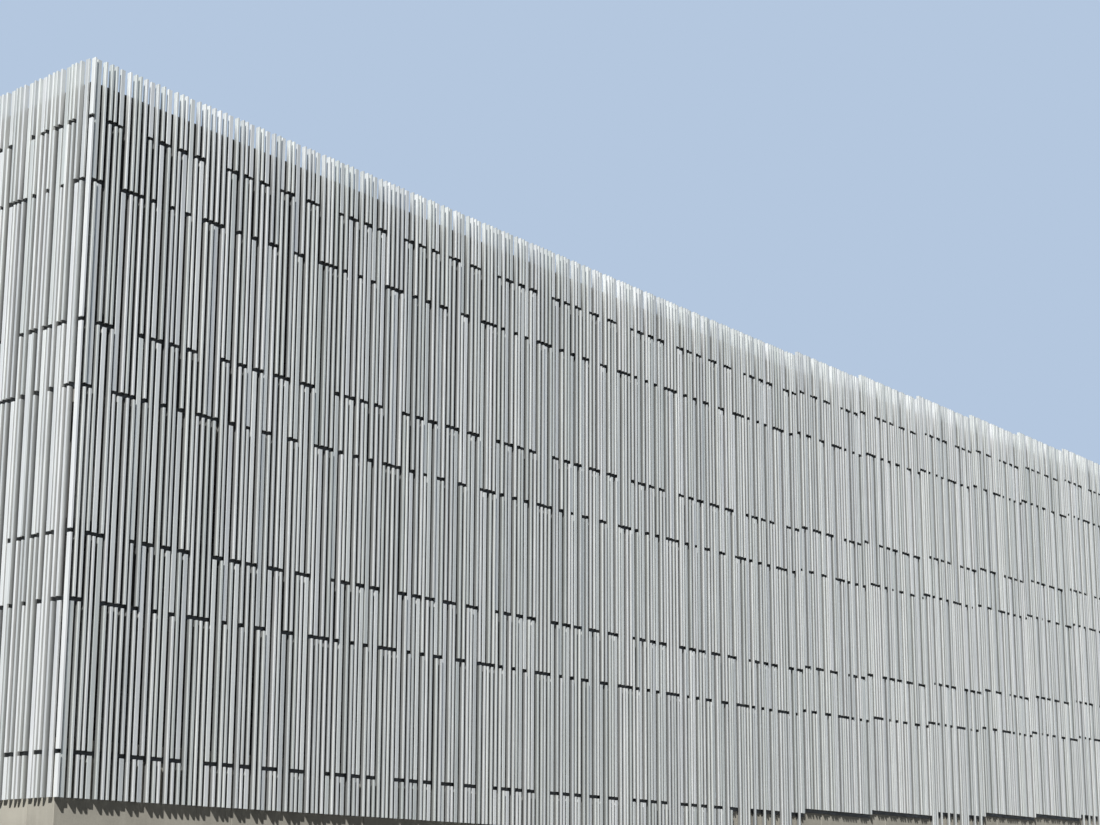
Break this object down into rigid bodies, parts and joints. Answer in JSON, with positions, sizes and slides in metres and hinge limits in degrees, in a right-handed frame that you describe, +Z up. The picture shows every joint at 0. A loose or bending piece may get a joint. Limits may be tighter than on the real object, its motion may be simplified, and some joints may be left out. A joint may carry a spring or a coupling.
{
  "type": "multi storey car park",
  "caption": "Multi storey car park: concrete decks behind a screen of upright metal tubes with staggered joints, on a plain concrete ground storey.",
  "frame": {"origin": "middle of the footprint at ground level", "axes": "+X along the long front to the right, +Y from the front to the back, +Z up"},
  "size_m": [32.5, 15, 13.157],
  "materials": {
    "screen_tube": "satin mill-finished aluminium box tube",
    "rail": "dark grey painted steel rail",
    "plinth_concrete": "fair-faced cast concrete with board joints",
    "deck_concrete": "trowelled concrete deck",
    "barrier_concrete": "dark cast concrete",
    "frame_concrete": "precast concrete"
  },
  "bodies": {
    "root": {"barrier_back_level": "barrier_concrete", "barrier_back_ramp": "barrier_concrete", "barrier_front_level": "barrier_concrete", "barrier_front_ramp": "barrier_concrete", "barrier_left": "barrier_concrete", "barrier_right": "barrier_concrete", "columns_back": "frame_concrete", "columns_front": "frame_concrete", "deck_1_level": "deck_concrete", "deck_1_ramp": "deck_concrete", "deck_2_level": "deck_concrete", "deck_2_ramp": "deck_concrete", "deck_3_level": "deck_concrete", "deck_3_ramp": "deck_concrete", "deck_4_level": "deck_concrete", "deck_4_ramp": "deck_concrete", "deck_beams": "frame_concrete", "ground_slab": "deck_concrete", "parapet_back_level": "barrier_concrete", "parapet_back_ramp": "barrier_concrete", "parapet_front_level": "barrier_concrete", "parapet_front_ramp": "barrier_concrete", "parapet_left": "barrier_concrete", "parapet_right": "barrier_concrete", "plinth_back_left": "plinth_concrete", "plinth_back_lintel": "plinth_concrete", "plinth_back_middle": "plinth_concrete", "plinth_back_ramp": "plinth_concrete", "plinth_front_level": "plinth_concrete", "plinth_front_ramp": "plinth_concrete", "plinth_left": "plinth_concrete", "plinth_right": "plinth_concrete", "rails_back": "rail", "rails_front": "rail", "rails_left": "rail", "rails_right": "rail", "screen_back_level": "screen_tube", "screen_back_stepped": "screen_tube", "screen_front_level": "screen_tube", "screen_front_stepped": "screen_tube", "screen_left": "screen_tube", "screen_right": "screen_tube"}
  },
  "joints": []
}
